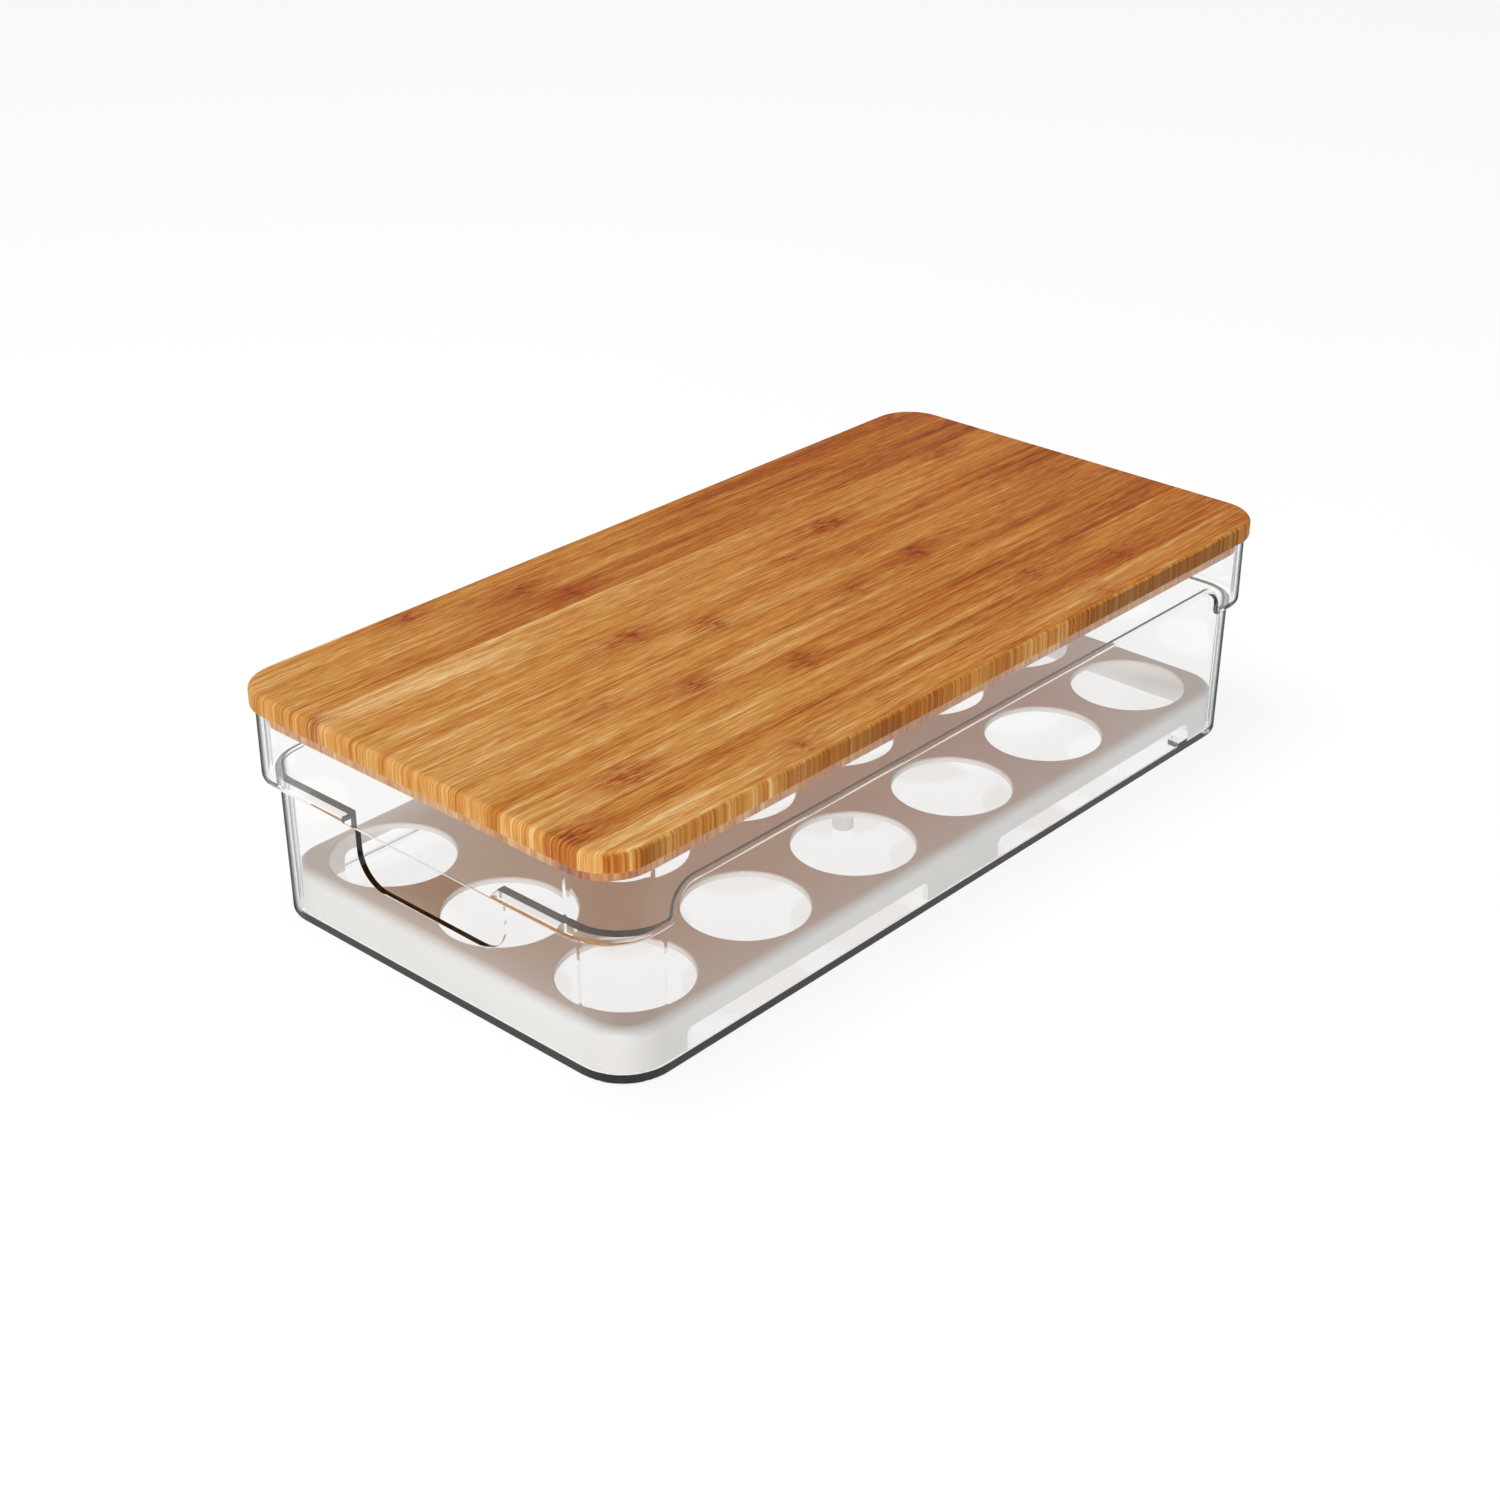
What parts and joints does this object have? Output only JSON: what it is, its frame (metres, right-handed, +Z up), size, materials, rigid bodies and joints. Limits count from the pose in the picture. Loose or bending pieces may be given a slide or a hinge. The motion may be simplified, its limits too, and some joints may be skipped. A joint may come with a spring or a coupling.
{
  "type": "egg holder",
  "caption": "Clear refrigerator bin with a hand hole in each end, a lift-out white tray of round egg holes and a flat bamboo lid that drops into its rim.",
  "frame": {"origin": "centre of the bin's underside, on the surface it stands on", "axes": "+X along the length, towards one hand hole; +Y across the width; +Z up through the lid"},
  "size_m": [0.32, 0.16, 0.0784],
  "materials": {
    "clear_plastic": "clear, polished",
    "white_plastic": "satin",
    "bamboo": "oiled, grain along the length"
  },
  "bodies": {
    "bin": {"bin": "clear_plastic"},
    "egg_tray": {"egg_tray": "white_plastic"},
    "lid": {"lid_stave_1": "bamboo", "lid_stave_2": "bamboo", "lid_stave_3": "bamboo", "lid_stave_4": "bamboo", "lid_stave_5": "bamboo", "lid_stave_6": "bamboo", "lid_stave_7": "bamboo", "lid_stave_8": "bamboo", "lid_stave_9": "bamboo", "lid_stave_10": "bamboo", "lid_stave_11": "bamboo", "lid_stave_12": "bamboo", "lid_stave_13": "bamboo"}
  },
  "joints": [
    {"name": "tray_lift", "type": "slide", "parent": "bin", "child": "egg_tray", "axis": [0, 0, 1], "range_m": [0, 0.09]},
    {"name": "lid_lift", "type": "slide", "parent": "egg_tray", "child": "lid", "axis": [0, 0, 1], "range_m": [0, 0.12]}
  ]
}
